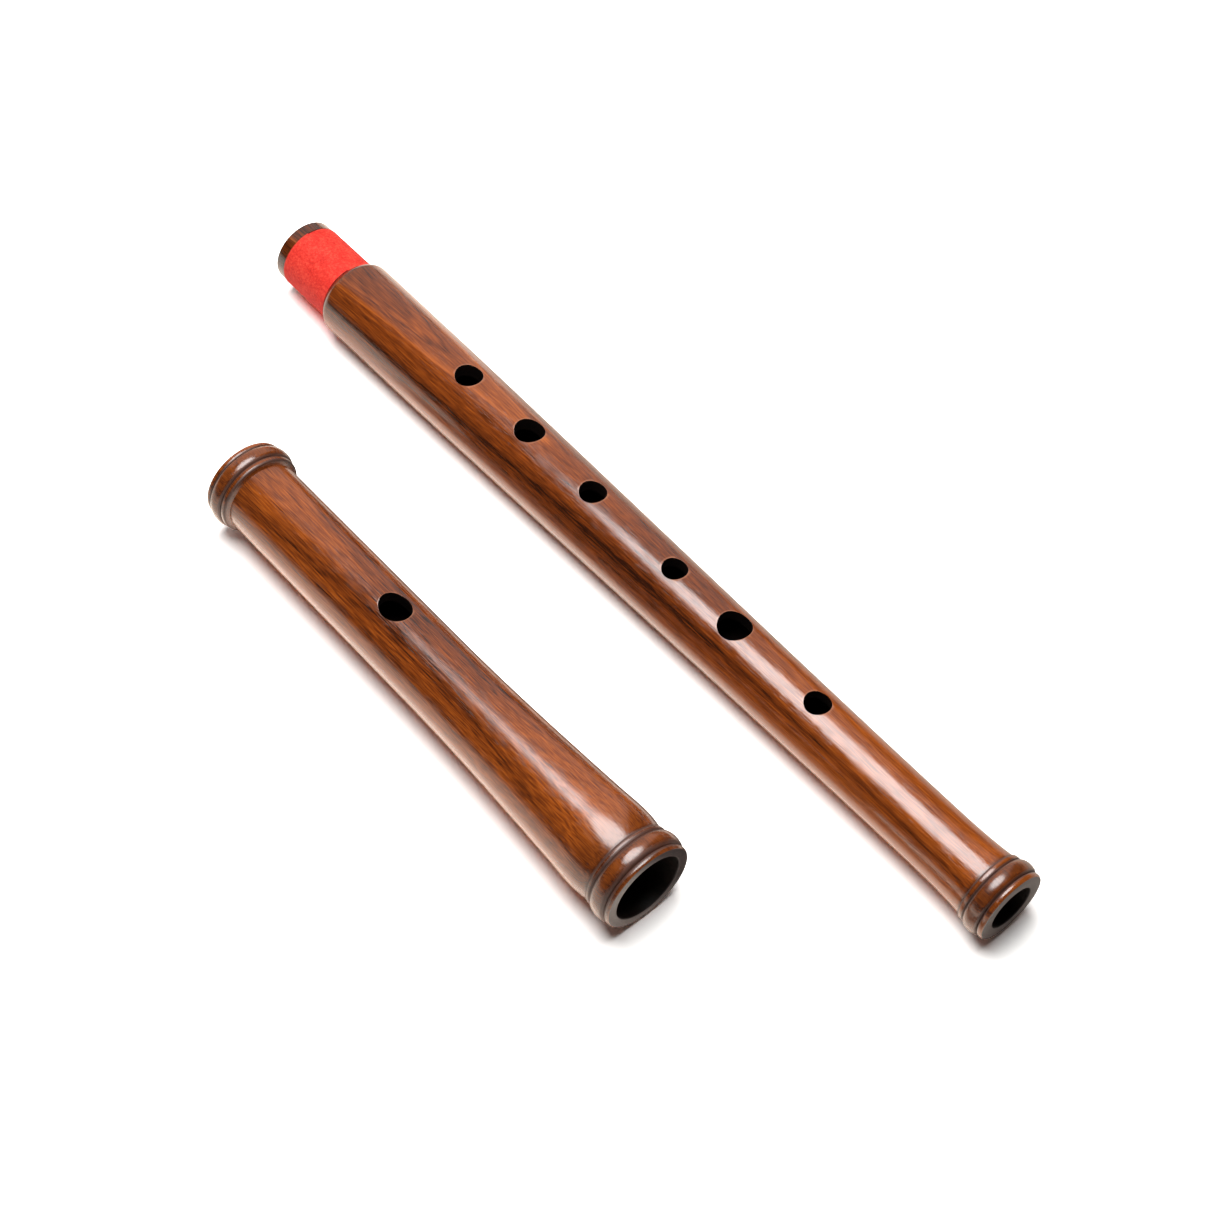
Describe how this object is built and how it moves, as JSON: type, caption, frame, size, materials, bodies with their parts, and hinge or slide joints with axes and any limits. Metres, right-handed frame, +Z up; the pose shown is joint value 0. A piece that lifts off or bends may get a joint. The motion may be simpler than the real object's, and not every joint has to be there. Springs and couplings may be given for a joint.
{
  "type": "keyless transverse flute",
  "caption": "Side-blown wooden flute taken apart: head joint with an oval embouchure beside a tapering body joint with finger holes, turned beads and a thread-wound tenon.",
  "frame": {"origin": "on the floor, midway along the body joint and midway across the two joints as they lie", "axes": "+X along the bores towards the foot, +Y from the head joint to the body joint, +Z up"},
  "size_m": [0.333, 0.104, 0.032],
  "materials": {
    "flute_wood": "oiled reddish-brown hardwood with dark streaks, semi-gloss",
    "plug_wood": "oiled hardwood end grain",
    "cork": "cut cork, matt",
    "red_thread": "waxed red thread, closely wound"
  },
  "bodies": {
    "body": {"body_tube": "flute_wood", "tenon_thread": "red_thread"},
    "crown": {"crown_plug": "plug_wood"},
    "head": {"head_tube": "flute_wood"},
    "stopper": {"stopper_cork": "cork"}
  },
  "joints": [
    {"name": "head_slide", "type": "slide", "parent": "body", "child": "crown", "axis": [1, 0, 0], "range_m": [0, 0.0263]},
    {"name": "head_turn", "type": "hinge", "parent": "crown", "child": "head", "pos_m": [-0.0984, -0.036, 0.016], "axis": [1, 0, 0], "continuous": true},
    {"name": "cork_shift", "type": "slide", "parent": "head", "child": "stopper", "axis": [1, 0, 0], "range_m": [-0.006, 0.006]}
  ]
}
